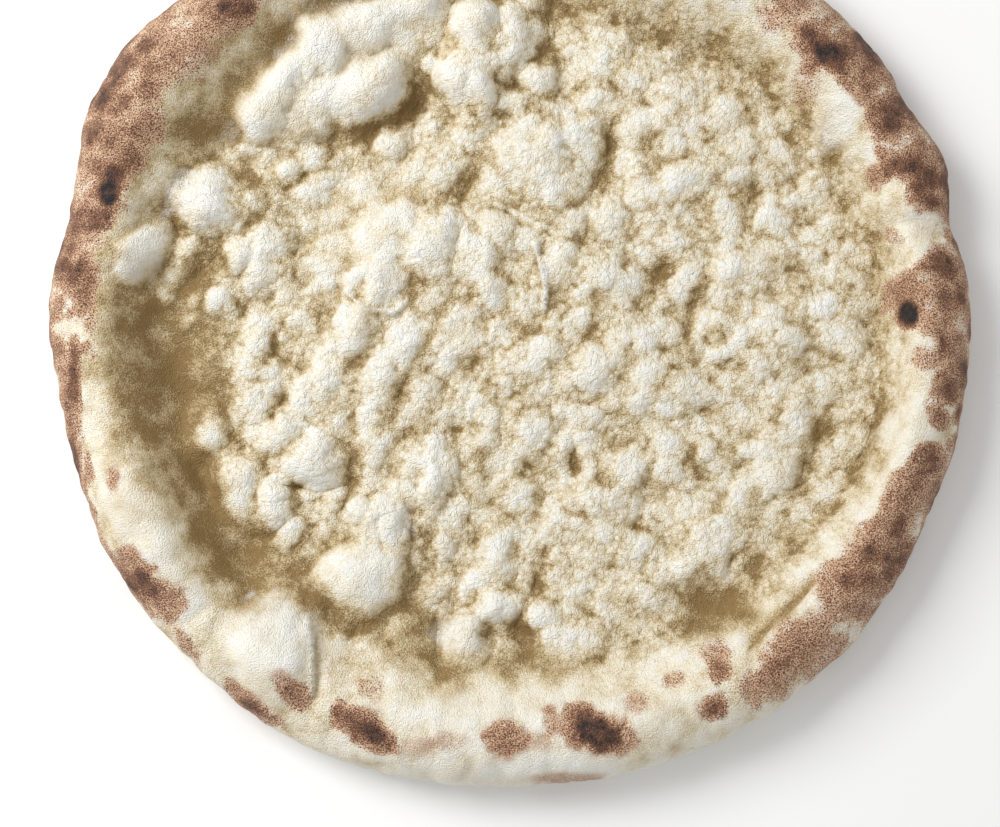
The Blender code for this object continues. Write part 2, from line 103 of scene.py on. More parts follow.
# A bubble of dough. turn is the direction of its long axis; rise is negative for a hollow; firm runs
# from 0 for a soft swelling to 1 for a taut bubble with steep sides.
Blister = namedtuple("Blister", "x y long wide turn rise firm")
BLISTERS = in_millimetres(
    Blister,
    # The long double roll near the far left side, on one broad swelling.
    (-57, 81, 29, 17.5, 38, 7, 0.3),
    (-34, 96, 20, 16, 30, 6.6, 0.3),
    (-79, 69, 10.4, 10, 50, 9.4, 0.7),
    (-71, 79, 15, 9.2, 46, 10, 0.7),
    (-58, 90, 15, 9.4, 36, 10.4, 0.7),
    (-44, 97, 16, 9.2, 30, 10.8, 0.7),
    (-29, 103.5, 13, 9.2, 30, 11, 0.7),
    (-45.5, 75.5, 15, 11.2, 27, 9.8, 0.7),
    (-38.5, 80, 9.5, 10, 30, 9.4, 0.65),
    # The stack of lobes beside it.
    (-10, 86, 20, 11.5, 80, 7.8, 0.55),
    (-10.5, 96.5, 10, 9.2, 60, 9.8, 0.7),
    (-16, 79, 7, 8, 60, 8.4, 0.6),
    (-8, 76, 6.6, 7.8, 110, 8.2, 0.6),
    (1, 93, 18, 10.5, 65, 6.8, 0.35),
    (9, 81.5, 6, 5.6, 0, 4, 0.5),
    (2, 71.5, 4.8, 4.2, 0, 2.8, 0.5),
    (-24.5, 84, 3.6, 3.4, 90, 3.6, 0.5),
    # Round and long bubbles along the left slope.
    (-95, 39, 12.5, 10.5, 80, 9.4, 0.6),
    (-86, 37, 11, 8, 60, 4, 0.3),
    (-113.5, 22.5, 11.8, 5.8, 50, 7.4, 0.7),
    (-102, 22.5, 12, 7.6, 48, 4.4, 0.35),
    (-94, -12, 10, 8, 80, 1.8, 0.1),
    (-108, 10.5, 4.4, 2.8, 120, 3.2, 0.9),
    (-114, 8, 4.4, 3.4, 60, 2.2, 0.5),
    (-98.5, 9, 3.6, 3.2, 60, 2, 0.7),
    (-91.5, 8.5, 4.8, 4.2, 60, 2.6, 0.7),
    (-100, 0.5, 3.4, 3, 60, 1.6, 0.6),
    (-87, 5, 3.6, 3, 60, 1.8, 0.6),
    (-84, 22.5, 6.2, 6, 70, 6.2, 0.5),
    (-78, 20, 12, 11, 70, 4.4, 0.4),
    (-63, 54.5, 5.8, 5.2, 0, 2.8, 0.55),
    (-69, 50, 5, 4.6, 0, 2, 0.4),
    (-38.5, 60.5, 5, 4.6, 0, 3.2, 0.7),
    (-83.5, 57, 4, 3.4, 0, 2.2, 0.6),
    # Ridges and domes of the middle, most of them stretched one way.
    (-32, 50, 10, 7.5, 20, 1.3, 0.08),
    (-38, 28, 14.5, 12.5, 60, 4.4, 0.28),
    (-24, 28, 13.5, 8.8, 72, 4.6, 0.52),
    (-30.5, 30, 10, 3, 105, 5.5, 0.48),
    (-41, 14, 12.5, 10.8, 60, 4.2, 0.5),
    (-56, 20, 13, 8, 55, 2.1, 0.12),
    (-3, 31, 5.8, 4.8, 140, 2.3, 0.52),
    (-5.5, 11, 7.5, 6.2, 60, 2.1, 0.24),
    (-11, 22, 10, 8.5, 40, 1.9, 0.16),
    (14, 56.5, 18.5, 17, 30, 4, 0.24),
    (-71, 8, 8, 5, 65, 2.7, 0.28),
    (-78.5, -3, 11, 5.4, 72, 2.6, 0.25),
    (-83, -14, 7, 5, 60, 2.7, 0.28),
    (-65.5, 6, 8.5, 4.4, 75, 2.1, 0.24),
    (-46, 0, 14, 8.5, 35, 2.7, 0.16),
    (-57.5, -16, 17, 9.2, 72, 2.5, 0.06),
    (-50, -2, 12, 9.5, 40, 2.6, 0.12),
    (-35, -6, 14, 8.8, 78, 2.1, 0.06),
    (-40, -24, 11, 7.4, 68, 2, 0.1),
    (-18, -5, 13, 8, 65, 1.9, 0.16),
    (-80, -28, 11, 8, 60, 2.2, 0.15),
    (-26, -24, 15, 7, 60, 1.9, 0.12),
    (6, -11, 14, 7, 40, 2.1, 0.16),
    (-27, -46, 13, 11.5, 60, 3.5, 0.28),
    (-42, -42, 15, 8, 80, 2.3, 0.12),
    # The near left quarter.
    (-95.5, -32.5, 8.8, 8.2, 90, 4.6, 0.55),
    (-70, -35, 11, 8.5, 50, 3, 0.15),
    (-60.5, -43, 11.5, 8, 160, 4.4, 0.45),
    (-85.5, -55, 14, 7.8, 82, 4, 0.5),
    (-73.5, -56.5, 9, 5.8, 92, 3.6, 0.3),
    (-54, -54, 6, 2.4, 60, 4.4, 0.7),
    (-68, -66, 6, 5, 60, 2.6, 0.3),
    (-39.5, -63, 10.8, 9, 100, 5.8, 0.45),
    (-46, -58, 6, 5.6, 60, 5, 0.4),
    (-46.5, -80, 15, 12.6, 10, 8.4, 0.6),
    (-35, -102, 15, 14, 110, 3.6, 0.6),
    (-13, -100.5, 8.8, 8, 90, 5, 0.55),
    (-2.5, -89.5, 9, 6.2, 0, 4.6, 0.6),
    (9, -91, 6, 5.6, 0, 3, 0.4),
    (-6, -76, 14, 8, 60, 2.8, 0.2),
    (18, -99, 12, 10, 10, 2.6, 0.2),
    # The right half, flatter.
    (25.5, -55, 6.6, 5.6, 0, 2, 0.55),
    (37, -44, 8.2, 5, 85, 1.9, 0.45),
    (35.5, -32.5, 5.2, 4.6, 30, 1.6, 0.45),
    (50.5, -42, 8.4, 5.4, 90, 2, 0.45),
    (64, -43, 6.4, 5.2, 90, 1.7, 0.4),
    (66.5, -3, 8.8, 8, 0, 1.9, 0.5),
    (75, -2.5, 5.8, 2.2, 90, 1.9, 0.6),
    (49, -2, 6.2, 5.8, 0, 1.9, 0.45),
    (44, -7, 3, 2.8, 0, 1.6, 0.6),
    (29, -13, 9.2, 7, 60, 2, 0.35),
    (79, -12, 5.4, 3.8, 110, 2, 0.55),
    (90, -4, 4.8, 4.4, 0, 1.6, 0.5),
    (97, -17, 4, 3.4, 0, 1.4, 0.5),
    (60, -20.5, 9.2, 4.4, 155, 1.9, 0.4),
    (51, -25, 4.6, 4.2, 0, 1.4, 0.5),
    (79.5, -45.5, 9.2, 8.8, 70, 2.6, 0.5),
    (73.5, -56, 6, 5, 70, 1.7, 0.45),
    (65, -67, 15, 7, 40, 1.7, 0.25),
    (47, -61, 6, 4.8, 60, 1.6, 0.4),
    (40, -70, 5.6, 5, 0, 1.4, 0.4),
    (14, -62, 8, 5.2, 70, 1.7, 0.35),
    (4, -54, 7, 4.4, 75, 1.6, 0.35),
    (8, -34, 8, 4.6, 70, 1.7, 0.35),
    (-6, -32, 7, 4.4, 65, 1.6, 0.35),
    (23, 2, 6, 4.8, 60, 1.6, 0.4),
    (18, 20, 7, 5.6, 60, 1.7, 0.35),
    (33, 33, 6.2, 5, 60, 1.7, 0.4),
    (32, 18, 7, 5.2, 50, 1.7, 0.4),
    (53, 27, 6.6, 5.4, 30, 1.6, 0.4),
    (56, 14, 5.8, 4.6, 60, 1.4, 0.4),
    (72, 19, 6.2, 5.4, 30, 1.6, 0.4),
    (98, 7, 6.6, 5.8, 0, 1.4, 0.4),
    (97, 26, 6.2, 4.8, 60, 1.4, 0.4),
    (84, 33, 6, 5, 30, 1.4, 0.4),
    (70, 35, 6, 5, 60, 1.4, 0.35),
    (43, 43, 6.2, 5.2, 30, 1.6, 0.4),
    (57, 47, 8.4, 6.4, 30, 1.7, 0.35),
    (72, 52, 6.2, 5.2, 40, 1.4, 0.4),
    (42, 64, 6.6, 5.6, 30, 1.9, 0.4),
    (69, 68, 7.6, 6, 40, 1.7, 0.4),
    (54, 76, 6, 5.2, 60, 1.6, 0.4),
    (40, 81, 6.2, 4.8, 60, 1.6, 0.35),
    (27, 74, 6, 4.8, 60, 1.6, 0.4),
    (88, 56, 5, 4.2, 60, 1.4, 0.35),
    (108, -36, 7, 6, 60, 1.9, 0.4),
    (102, -52, 7, 4.8, 60, 1.6, 0.35),
    (90, -28, 6, 4.6, 60, 1.4, 0.35),
)
# Broad, soft rises and hollows.
SOFT_FORMS = in_millimetres(
    Blister,
    (-108, -64, 30, 15, 122, 5, 0),
    (-71, -101, 21, 14, 78, 5.5, 0),
    (-45, -10, 60, 30, 60, 2, 0),
    (67, -89, 18, 12, 172, -3.6, 0),
    (-87, -74, 22, 12, 122, -3.4, 0),
    (-102, -18, 28, 11, 95, -1.8, 0),
    (5, -97, 7, 5, 110, -3.4, 0),
    (32, 54, 15, 4.4, 78, -2.2, 0),
    (-42, 65, 24, 6, 30, -2, 0),
    (-34, -20, 19, 4, 60, -0.9, 0),
    (-16, 44, 16, 5, 55, -2, 0),
    (46, 12, 16, 4.2, 66, -2.6, 0),
    (60, 6, 12, 3.6, 70, -1.6, 0),
    (86, 14, 11, 5, 65, -1.8, 0),
    (95, -43, 18, 4.2, 68, -2.6, 0),
    (-27, -77, 16, 5.6, 82, -2.6, 0),
    (-74.5, -7, 6.5, 3.6, 68, -0.8, 0),
    (-48, -12, 8, 3.4, 45, -0.6, 0),
    (-98, 19, 10, 5, 40, -1.8, 0),
    (-70, -22, 10, 4.4, 75, -0.9, 0),
    (-50, -48, 10, 4, 60, -1.8, 0),
    (13, -25, 4, 3, 70, -1.6, 0),
    (10, -80, 12, 4, 80, -1.6, 0),
    (-28, 70, 7, 4, 60, -2, 0),
    (12, 88, 16, 4, 50, -1.6, 0),
    (-74, -66, 6, 3.6, 170, -2, 0),
)

# A bubble that burst: a raised ring round a sunken floor.
Crater = namedtuple("Crater", "x y long wide turn rise")
CRATERS = in_millimetres(
    Crater,
    (-46, 11.5, 6, 4.6, 70, 1.3),
    (22, -43, 7.4, 4.6, 82, 2.6),
    (66, -3, 6.2, 5.6, 0, 1.4),
    (-28, -48, 4.8, 4.4, 100, 2),
    (78.5, -46, 8.2, 7.4, 20, 1),
    (51, -25, 3.6, 3.4, 0, 1.2),
    (48.5, -2, 3, 2.8, 0, 1.2),
    (-48, -12, 6, 3.6, 50, 0.6),
    (-75, -9, 6.2, 4, 70, 0.9),
    (-84, -41, 3.6, 2, 75, 1.2),
    (-64, 7.5, 5, 3.6, 70, 1),
    (35, -33, 3.6, 3.4, 0, 1),
    (-69, -56, 7, 3.6, 15, 0.7),
    (-39, -60, 5.6, 3, 110, 0.7),
    (89, 0, 3, 2.8, 0, 0.8),
    (5, -45, 4.4, 3.4, 60, 1),
)

# A fold or seam: a groove from one point to another.
Crease = namedtuple("Crease", "x1 y1 x2 y2 width depth")
CREASES = in_millimetres(
    Crease,
    (-64, -87, -60, -99, 1.4, 1.4),
    (-60, -99, -57.5, -115, 1.2, 3.4),
    (-66, -96, -63, -108, 1, 1.8),
    (-97, -44, -91, -60, 2, 3.4),
    (-90, -64, -79, -85, 1.8, 2),
    (75.5, -101, 95, -80.5, 1.9, 5.6),
    (121, 31, 144, 25, 2.4, 3),
    (-4, 38, 16, 29, 1, 1.2),
    (-64, 76, -52, 83, 1.6, 1.2),
    (-52, 83, -37, 90, 1.6, 1.2),
    (-54.5, 98, -51, 87, 1, 0.8),
    (-22, 86.5, 0, 88, 1, 1.6),
    (-70, -50, -53, -51, 1.4, 1.8),
    (-34, 35, -29, 24, 1, 2.6),
    (-43, -56, -39, -70, 1, 1.2),
    (-23, -92, -20.5, -110, 1.4, 1.6),
)
# Thin raised seams, where a bubble's skin has dried; depth is their height.
SEAMS = in_millimetres(
    Crease,
    (8.5, 26, 12, 18, 0.8, 1.8),
    (12, 18, 12, 5, 0.8, 1.8),
    (-4, 40, 20, 29, 0.6, 0.6),
    (-49.5, 12, -45, 5, 0.8, 1.2),
    (-45, 5, -36, 4, 0.8, 1.2),
    (-36, 4, -32, 8, 0.8, 1),
    (-118, -48, -109, -44, 1, 0.3),
    (-62.5, -94, -60, -116, 0.9, 1.6),
    (79, -102, 97, -83, 1.3, 1.6),
)

# Layers of small lumps: distance apart, height, the seed of their places, how many times as long as
# wide they are, along a direction, and how deep the tops of the burst ones sank, as a share.
Lumps = namedtuple("Lumps", "pitch rise seed stretch turn burst", defaults=(1, 0, 0))
STRETCHED_LUMPS = (
    Lumps(pitch=0.0080, rise=0.0012, seed=31, stretch=1.9, turn=60, burst=0.7),
    Lumps(pitch=0.0046, rise=0.0011, seed=32, stretch=1.4, turn=60, burst=0.7),
)
ROUND_LUMPS = (
    Lumps(pitch=0.0085, rise=0.0013, seed=12, burst=0.8),
    Lumps(pitch=0.0048, rise=0.0011, seed=13, burst=0.7),
)
FINE_LUMPS = (Lumps(pitch=0.0027, rise=0.0006, seed=14),)
CRUST_LUMPS = (
    Lumps(pitch=0.0095, rise=0.0009, seed=21),
    Lumps(pitch=0.0042, rise=0.0007, seed=22),
)
# Gentler waves of the bed, in the same terms.
STRETCHED_WAVES = (
    Lumps(pitch=0.0130, rise=0.0016, seed=33, stretch=2.1, turn=62),
    Lumps(pitch=0.0062, rise=0.0007, seed=34, stretch=1.8, turn=60),
)
ROUND_WAVES = (
    Lumps(pitch=0.0160, rise=0.0023, seed=35, stretch=1.3, turn=70),
    Lumps(pitch=0.0080, rise=0.0011, seed=36, stretch=1.2, turn=60),
)
# Sharp-crested folds of the bed's skin, in the same terms.
FOLDS = (
    Lumps(pitch=0.0075, rise=0.0008, seed=37, stretch=2.4, turn=64),
    Lumps(pitch=0.0048, rise=0.0005, seed=38, stretch=1.3, turn=40),
)

# Smooth stretches of the bed, where few small bubbles rose.
Patch = namedtuple("Patch", "x y long wide turn amount")
SMOOTH_PATCHES = in_millimetres(
    Patch,
    (-107, -15, 38, 17, 95, 0.95),
    (-88, -76, 28, 15, 122, 0.9),
    (-56, 85, 45, 20, 38, 0.25),
    (-108, -70, 30, 20, 120, 0.9),
    (-95, 80, 40, 16, 42, 0.95),
    (66, -90.5, 15, 10, 170, 0.85),
    (-44, 32, 22, 13, 55, 0.6),
    (-48, -80, 16, 13, 10, 0.7),
    (-31, -101, 15, 12, 110, 0.6),
    (0, -118, 70, 14, 0, 0.85),
)

# Toasting of the crust by direction: the middle of each stretch, its spread, how brown it is, and how
# far up the inner slope it starts, where 1 is the crown.
Toasting = namedtuple("Toasting", "direction spread amount start")
TOASTED_STRETCHES = (
    Toasting(112, 26, 0.62, 0.74),
    Toasting(150, 24, 0.66, 0.78),
    Toasting(180, 15, 0.60, 1.00),
    Toasting(200, 12, 0.36, 1.40),
    Toasting(228, 16, 0.14, 1.15),
    Toasting(325, 16, 0.48, 0.80),
    Toasting(352, 16, 0.54, 0.86),
    Toasting(12, 14, 0.52, 0.92),
    Toasting(38, 18, 0.55, 0.76),
    Toasting(66, 20, 0.45, 0.86),
)
# Small spots that crowd the toasted stretches; rise is how brown they are.
LEOPARD_SPOTS = (
    Lumps(pitch=0.0095, rise=0.34, seed=51),
    Lumps(pitch=0.0052, rise=0.30, seed=52),
)
# Separate toasted spots; an amount of 1 is dark brown, and a negative amount is pale.
SPOTS = in_millimetres(
    Patch,
    (-123.5, 41, 6, 4.5, 80, 0.36),
    (-122.2, 50, 8.5, 5, 80, 0.3),
    (-131, 32, 8.5, 4, 20, 0.55),
    (-130, 49, 3.6, 3, 0, 0.4),
    (-132.1, 13.4, 5.5, 4.5, 80, 0.53),
    (-134.1, -14.2, 8.5, 2, 88, 0.78),
    (-129.5, 61.5, 5, 3.6, 60, 0.62),
    (-126.5, 72.5, 5.2, 3.2, 50, 0.62),
    (-121.5, 80, 4.5, 2.8, 55, 0.5),
    (-111, 61, 4.8, 3.6, 60, 0.42),
    (-112.5, 73, 4.4, 3.6, 0, 0.36),
    (-98.6, 83.4, 12, 6, 40, 0.22),
    (-86.8, 98.2, 8, 5, 40, 0.3),
    (-135.1, -42.8, 7, 1.8, 100, 0.75),
    (-125.2, -47.7, 8, 3.5, 130, 0.53),
    (-115.9, -77.3, 8, 5, 130, 0.5),
    (-106.5, -85.2, 9, 5, 140, 0.53),
    (-117.3, -83.2, 6, 2, 120, 0.35),
    (-98.6, -99.5, 5, 2.2, 130, 0.26),
    (-81.8, -115.7, 6, 2.5, 145, 0.3),
    (-75.9, -121.2, 7, 2, 150, 0.53),
    (-69, -110.8, 4.5, 3, 130, 0.3),
    (-64.1, -115.7, 5, 3.5, 150, 0.53),
    (-44.4, -125.6, 9.5, 4.5, 148, 0.83),
    (-39.5, -127.6, 5, 3, 150, 0.3),
    (-41.4, -113.3, 5, 3.5, 0, 0.18),
    (-17.8, -129.5, 6, 3.5, 0, 0.2),
    (-27.6, -131.5, 6, 3, 0, 0.18),
    (-1, -129, 6, 5, 0, 0.53),
    (9.8, -129.5, 6, 3, 0, 0.2),
    (26.1, -126.1, 11.5, 5.5, 162, 0.9),
    (27.1, -127.1, 6, 3.5, 162, 0.69),
    (18.7, -141.4, 12, 2.5, 0, 0.3),
    (39.4, -117.7, 4.5, 3, 0, 0.26),
    (50.2, -110.8, 4, 2.2, 20, 0.28),
    (63, -119, 4.2, 3.6, 20, 0.7),
    (64.5, -108.3, 3, 2.8, 0, 0.56),
    (64.5, -101.9, 4.5, 4, 40, 0.3),
    (79, -111, 9, 5, 40, 0.34),
    (86.7, -100, 10, 6, 40, 0.3),
    (99.5, -79.3, 6, 5, 50, 0.3),
    (106.4, -83.2, 8, 6, 50, 0.3),
    (109.4, -69.4, 8, 6, 50, 0.25),
    (120.2, -59.6, 7, 5, 60, 0.3),
    (128.1, -45.8, 7, 5, 60, 0.25),
    (129.1, -12.2, 4, 4, 0, 0.25),
    (133, -21.1, 5, 3, 60, 0.2),
    (124.5, 9, 6, 5, 90, 0.5),
    (131.1, -1.4, 5, 3.5, 140, 0.35),
    (135, 6.5, 5, 3, 120, 0.32),
    (134, 17.8, 6.5, 4, 160, 0.69),
    (122.2, 27.2, 4, 2.5, 150, 0.22),
    (121.2, 47.9, 7, 4, 20, 0.65),
    (132.1, 42, 6, 5, 100, 0.3),
    (118.3, 59.7, 3, 2.8, 0, 0.56),
    (111.4, 69.6, 3.5, 3, 0, 0.3),
    (101.5, 84.4, 5, 4, 120, 0.65),
    (95.6, 85.3, 6, 4, 120, 0.5),
    (94.6, 75.5, 4, 6, 20, 0.18),
    (83.8, 96.2, 6, 4, 160, 0.25),
    # Pale, floury patches, and a thin pale line along the left crown's ridge that is painted highlight.
    (124, -33.5, 12, 7.5, 20, -0.9),
    (128, 31.5, 4.5, 4, 0, -0.75),
    (123.2, 41.5, 4.2, 3.4, 40, -0.65),
    (130, 23.5, 7, 3.5, 30, -0.55),
    (105, 62.5, 5.5, 4.5, 120, -0.9),
    # Painted highlight along the left crown's ridge, which faces the lamp.
    (-127.2, -35.9, 29, 2.4, 100, -0.6),
    (-135.1, 1.6, 6, 4, 60, -0.2),
)
# Blisters of the crust that burnt through.
CHARRED = in_millimetres(
    Patch,
    (-124, 40.5, 5.6, 3.5, 78, 1),
    (125, 2.4, 4.6, 2.6, 95, 1),
    (26.2, -129, 3.6, 1.8, 160, 0.85),
    (-45.2, -128, 4, 1.8, 150, 0.6),
)
# Broad stretches, most of them on the inner slope that faces away from the lamp, darkened as painted shade;
# a negative amount paints a stretch paler.
SHADED_STRETCHES = in_millimetres(
    Patch,
    (-103, 60, 11, 6, 52, 0.5),
    (-119, 2, 42, 9, 93, 0.72),
    (-107, -16, 21, 8.5, 96, 0.92),
    (-96, -15, 19, 9, 94, 0.9),
    (-112, -40, 16, 8, 112, 0.36),
    (-100, 76, 33, 8, 48, 0.34),
    (-69, 102, 28, 7, 34, 0.34),
    (-89, -69, 22, 7.2, 123, 1.2),
    (-48, 20, 17, 13, 60, -0.24),
    (-58, -15, 18, 6.5, 72, -0.24),
    (25, -104, 28, 7, 6, -0.24),
    (-36, -6, 13, 6.5, 76, -0.22),
    (-77.5, 4, 11, 4.5, 66, -0.22),
    (-60, -43, 10, 6.5, 160, -0.2),
    (-43, -70, 16, 11, 95, -0.16),
)
# Hollows and creases darkened to deep golden: partly the moist dough's own colour, partly painted shade
# where shade falls in them.
MOIST_AND_SHADED_HOLLOWS = in_millimetres(
    Patch,
    (4, 88, 13, 8, 60, 0.22),
    (-97, 16.5, 10, 7, 60, 0.85),
    (-79, 41, 13, 8, 50, 0.5),
    (-107, -27, 5, 4, 60, 0.4),
    (-93, -47, 8, 4.5, 124, 0.95),
    (-97.5, -28, 6, 4, 40, 0.3),
    (-74, -67, 7, 5, 0, 0.4),
    (-63, -85, 7, 6, 0, 0.3),
    (-49, -47, 11, 4, 60, 0.45),
    (-28, -77, 14, 6, 82, 0.5),
    (-29, -99, 14, 9, 112, 0.5),
    (-21.5, -106, 8, 2, 95, 0.4),
    (5, -96, 7, 5, 110, 0.6),
    (1, -107, 6, 5, 0, 0.35),
    (10, -80, 11, 4, 80, 0.35),
    (-32, -18, 18, 3.4, 60, 0.45),
    (-47, -11, 9, 3.4, 45, 0.35),
    (-75, -7, 7.5, 3.4, 68, 0.4),
    (-15, 44, 10, 5, 70, 0.3),
    (-29, 70, 7, 5, 60, 0.5),
    (-42, 62, 14, 4, 25, 0.3),
    (31, 55, 13, 3.6, 80, 0.4),
    (47, 16, 12, 3.4, 70, 0.4),
    (60, 8, 8, 3, 70, 0.3),
    (86, 15, 9, 5, 60, 0.28),
    (30, -3, 6, 3, 40, 0.4),
    (95, -42, 17, 3.6, 68, 0.35),
    (76, -66, 6, 4, 60, 0.3),
    (66.5, -89, 13, 8, 172, 0.45),
    (85, -91.2, 13, 1.3, 46, 0.9),
    (74, 43, 6, 4, 60, 0.3),
    (13, -25, 3.6, 2.6, 60, 0.4),
    (22, -43, 6, 3.4, 82, 0.45),
    (-9, -45, 10, 3.6, 85, 0.35),
    (-6, -22, 8, 3.6, 60, 0.25),
    (7, -2, 6, 3, 50, 0.35),
    (13, 8, 10, 2.4, 85, 0.35),
    (17, 90, 11, 3, 50, 0.35),
    (-46.2, 11.2, 4.8, 4.6, 60, 0.4),
    (-29, 13, 7, 3, 60, 0.5),
    (65.5, -3.5, 4, 4.4, 0, 0.45),
    (-70, 15, 10, 5, 50, 0.35),
    (58, 0, 10, 2, 95, 0.4),
    (30, -45, 9, 2.4, 85, 0.4),
    (59, -42, 9, 2.4, 95, 0.35),
    (88, -13, 4, 3.6, 0, 0.35),
    (69, -40, 4, 3, 0, 0.35),
)
# Where loose flour lies thickest, and where the lit upper-left sides of bubbles are painted white as painted
# highlight.
FLOUR_AND_HIGHLIGHT_PATCHES = in_millimetres(
    Patch,
    (-73, -99, 13, 13, 80, 0.9),
    (-10, -141, 90, 8, 0, 0.6),
    (10, -124, 70, 11, 0, 0.45),
    (-114, -64, 30, 8, 118, 0.45),
    (124, -33.5, 11, 7, 20, 0.4),
    (105, 64, 8, 6, 60, 0.8),
    (-56, 85, 40, 17, 40, 0.5),
    (-99, 41, 7, 9, 80, 0.9),
    (-114, 22.5, 10.5, 5, 50, 1),
    (-17, -97, 5, 7, 90, 0.7),
    (-2, -89, 6, 4, 0, 0.7),
    (-36, -62, 6, 7, 90, 0.7),
    (130, 33, 7, 6, 60, 0.5),
)


def linear_colour(code):
    """Linear RGBA of an sRGB hex value such as "e8dcc0"."""
    channels = [int(code[i : i + 2], 16) / 255 for i in (0, 2, 4)]
    return (*[c / 12.92 if c <= 0.04045 else ((c + 0.055) / 1.055) ** 2.4 for c in channels], 1.0)


def colour_property(name, description, code):
    return FloatVectorProperty(
        name=name, description=description, subtype="COLOR", size=4, min=0, max=1, default=linear_colour(code)
    )


def length_property(name, description, default):
    return FloatProperty(name=name, description=description, default=default, min=0, unit="LENGTH")


class DoughSizes(bpy.types.PropertyGroup):
    """Driving dimensions of the dough."""

    side_radius: length_property("Side radius", "Middle to the crust's widest line", 145.0 * MM)
    crown_radius: length_property("Crown radius", "Middle to the top of the crust", 130.0 * MM)
    foot_radius: length_property("Foot radius", "Middle to the end of the crust's inner slope", 110.0 * MM)
    underside_radius: length_property("Underside radius", "Middle to the edge of the flat", 135.0 * MM)
    crown_height: length_property("Crown height", "Height of the crust's top", 21.5 * MM)
    side_height: length_property("Side height", "Height of the crust's widest line", 9.5 * MM)
    bed_thickness: length_property("Bed thickness", "Thickness of the bed before it blistered", 6.0 * MM)
    inflation: length_property("Inflation", "Outward swelling that rounds the blisters' edges", 0.5 * MM)
    grid_cells: IntProperty(
        name="Grid cells", description="Cells along a side of the grid", default=312, min=40
    )


class DoughColours(bpy.types.PropertyGroup):
    """Colours of baked dough, from raw and floury to burnt."""

    # This white also paints the highlights on the bubbles' lit sides.
    flour_and_highlight: colour_property("Flour", "Dry flour and the driest bubble tops", "efeee7")
    cream: colour_property("Cream", "Baked but unbrowned dough", "eae0c8")
    # Tan and gold also carry the painted shade of the hollows and of the inner slope.
    tan: colour_property("Tan", "Moist dough between bubbles", "c6b188")
    gold: colour_property("Gold", "Deep crevices of the bed", "8a6f41")
    biscuit: colour_property("Biscuit", "Lightly toasted crust", "cfab8b")
    brown: colour_property("Brown", "Toasted crust", "8f6449")
    umber: colour_property("Umber", "Dark leopard spots", "5c3d2b")
    char: colour_property("Char", "Burnt spots", "191417")


class StageSettings(bpy.types.PropertyGroup):
    """The floor, the lamp and the camera."""

    floor: colour_property("Floor", "Matte floor", "f8f8f7")
    key_power: FloatProperty(name="Key", description="Window-like lamp", default=10.4, min=0, unit="POWER")
    sky_strength: FloatProperty(name="Sky", description="Even light from all round", default=0.59, min=0)
    camera_elevation: FloatProperty(
        name="Elevation", description="Camera above the horizon", default=math.radians(84), subtype="ANGLE"
    )
    focal_length: FloatProperty(name="Focal length", description="Lens, in millimetres", default=80.0, min=1)
    view_width: length_property("View width", "What the view takes in across", 314.0 * MM)


def noise(points, pitch, seed):
    """A smooth random value from -1 to 1 at each point, in waves about one pitch across."""
    table = np.random.default_rng(seed).uniform(-1, 1, (NOISE_TABLE,) * 3)
    cell = np.floor(points / pitch).astype(int)
    part = points / pitch - cell
    part = part * part * (3 - 2 * part)
    total = np.zeros(len(points))
    for corner in itertools.product((0, 1), repeat=3):
        weight = np.prod(np.where(corner, part, 1 - part), axis=1)
        total += weight * table[tuple(((cell + corner) % NOISE_TABLE).T)]
    return total


def stretched(points, layer):
    """The points squeezed along the layer's direction, so that what is drawn on them comes out long."""
    turn = math.radians(layer.turn)
    along = points[:, 0] * math.cos(turn) + points[:, 1] * math.sin(turn)
    across = points[:, 1] * math.cos(turn) - points[:, 0] * math.sin(turn)
    return np.column_stack((along / layer.stretch, across, points[:, 2]))


def waves(points, layers):
    """The sum of the layers' smooth waves at each point."""
    return sum(layer.rise * noise(stretched(points, layer), layer.pitch, layer.seed) for layer in layers)


def folds(points, layers):
    """The sum of the layers' creased skin at each point: sharp crests with round troughs between."""
    bent = wandering(points, *FOLD_WANDER)
    return sum(f.rise * (1 - 3 * np.abs(noise(stretched(bent, f), f.pitch, f.seed))) for f in layers)


def crowded_lumps(points, layers):
    """The sum of the layers' lumps, which crowd together, about one to each cell of a layer."""
    return sum(layer.rise * lump_heights(points, layer) for layer in layers)


LUMP_SIZES = (0.40, 0.95)  # radii, as shares of a cell
LUMP_DENTS = (-0.8, 1)  # how deep the tops sank, before the layer's burst; below 0 is whole
LUMP_BEND = 0.22  # how far a lump's outline strays from an oval, as a share of a cell


def lump_heights(points, layer):
    """Heights from 0 to 1 of one layer's lumps."""
    cells = (NOISE_TABLE,) * 3
    random = np.random.default_rng(layer.seed)
    places = random.random((*cells, 3))
    sizes = random.uniform(*LUMP_SIZES, cells)
    dents = layer.burst * np.clip(random.uniform(*LUMP_DENTS, cells), 0, 1)
    bends = [noise(points, 0.9 * layer.pitch, layer.seed + i) for i in (50, 60, 70)]
    scaled = stretched(points, layer) / layer.pitch + LUMP_BEND * np.column_stack(bends)
    cell = np.floor(scaled).astype(int)
    height = np.zeros(len(points))
    for step in itertools.product((-1, 0, 1), repeat=3):
        key = tuple(((cell + step) % NOISE_TABLE).T)
        gap = scaled - (cell + step + places[key])
        share = np.sum(gap * gap, axis=1) / sizes[key] ** 2
        dome = np.sqrt(np.clip(1 - share, 0, 1)) - dents[key] * np.clip(1 - 2.2 * share, 0, 1)
        height = np.maximum(height, sizes[key] * dome)
    return height


def ease(share):
    """0 to 1 with level ends, for any share: below 0 gives 0 and above 1 gives 1."""
    share = np.clip(share, 0, 1)
    return share * share * (3 - 2 * share)


